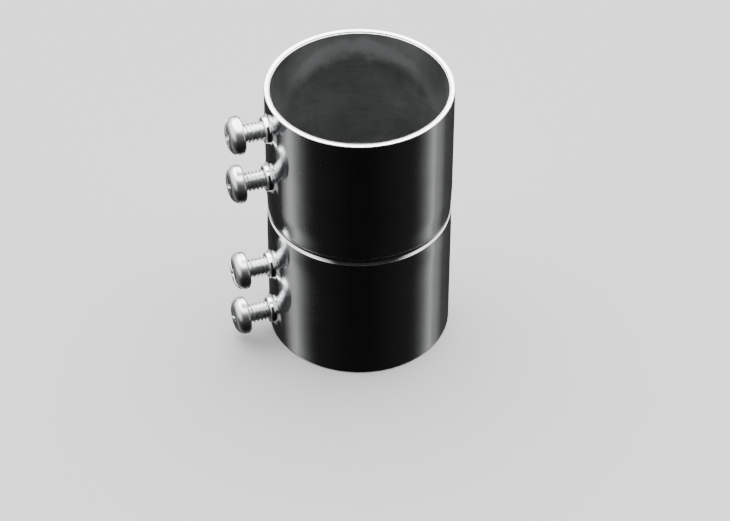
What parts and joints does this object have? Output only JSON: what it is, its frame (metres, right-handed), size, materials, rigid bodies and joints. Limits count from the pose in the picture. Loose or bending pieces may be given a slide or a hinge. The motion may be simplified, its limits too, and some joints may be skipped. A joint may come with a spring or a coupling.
{
  "type": "set-screw conduit coupling",
  "caption": "Straight zinc-plated steel set-screw coupling for two-inch thin-wall conduit, with a rolled centre stop and pan-head clamping screws.",
  "frame": {"origin": "on the sleeve's axis, in the plane of its lower rim, where a conduit enters the lower socket", "axes": "+Z along the sleeve from the lower rim to the upper rim; the four screw heads point towards -X; +Y completes a right-handed frame"},
  "size_m": [0.0736, 0.06, 0.0957],
  "materials": {
    "zinc_plated_sleeve": "drawn steel tube, bright zinc plating with faint haze, fine scratches and specks; matte inside",
    "zinc_plated_screw": "cold-headed steel, bright zinc plating, slightly rough in the driver recess and the thread"
  },
  "bodies": {
    "sleeve": {"sleeve": "zinc_plated_sleeve"},
    "screw_1": {"set_screw_1": "zinc_plated_screw"},
    "screw_2": {"set_screw_2": "zinc_plated_screw"},
    "screw_3": {"set_screw_3": "zinc_plated_screw"},
    "screw_4": {"set_screw_4": "zinc_plated_screw"}
  },
  "joints": [
    {"name": "screw_1_travel", "type": "slide", "parent": "sleeve", "child": "screw_1", "axis": [1, 0, 0], "range_m": [-0.00127, 0.00635]},
    {"name": "screw_2_travel", "type": "slide", "parent": "sleeve", "child": "screw_2", "axis": [1, 0, 0], "range_m": [-0.00127, 0.00635]},
    {"name": "screw_3_travel", "type": "slide", "parent": "sleeve", "child": "screw_3", "axis": [1, 0, 0], "range_m": [-0.00127, 0.00635]},
    {"name": "screw_4_travel", "type": "slide", "parent": "sleeve", "child": "screw_4", "axis": [1, 0, 0], "range_m": [-0.00127, 0.00635]}
  ]
}
